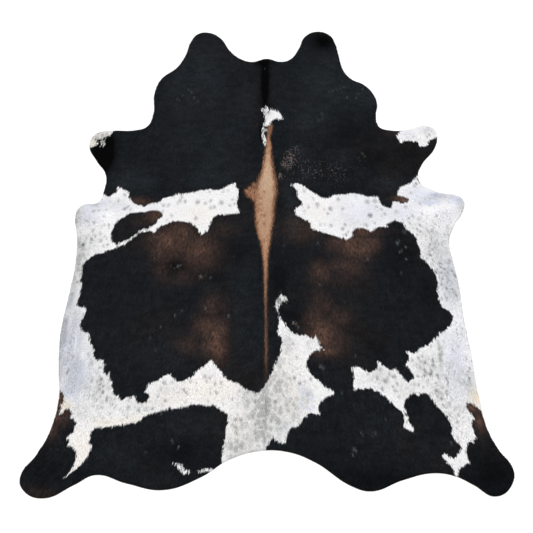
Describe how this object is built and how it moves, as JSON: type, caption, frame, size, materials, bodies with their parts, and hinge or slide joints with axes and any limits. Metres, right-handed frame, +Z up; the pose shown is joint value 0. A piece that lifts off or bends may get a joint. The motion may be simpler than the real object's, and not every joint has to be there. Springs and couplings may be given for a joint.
{
  "type": "cowhide rug",
  "caption": "Whole cowhide laid flat as a floor rug: a hair-on hide with its natural outline of neck, shanks, flanks and rump, soft rolls along the thin belly edges.",
  "frame": {"origin": "bottom centre of the hide's own box, on the floor that it lies on", "axes": "+Y along the spine towards the neck, +X to the right as seen from above, +Z up out of the hair side"},
  "size_m": [1.9196, 2.25, 0.0158],
  "materials": {
    "cowhide": "short glossy hair lying flat, black and white with tan, over suede leather"
  },
  "bodies": {
    "root": {"hide": "cowhide"}
  },
  "joints": []
}
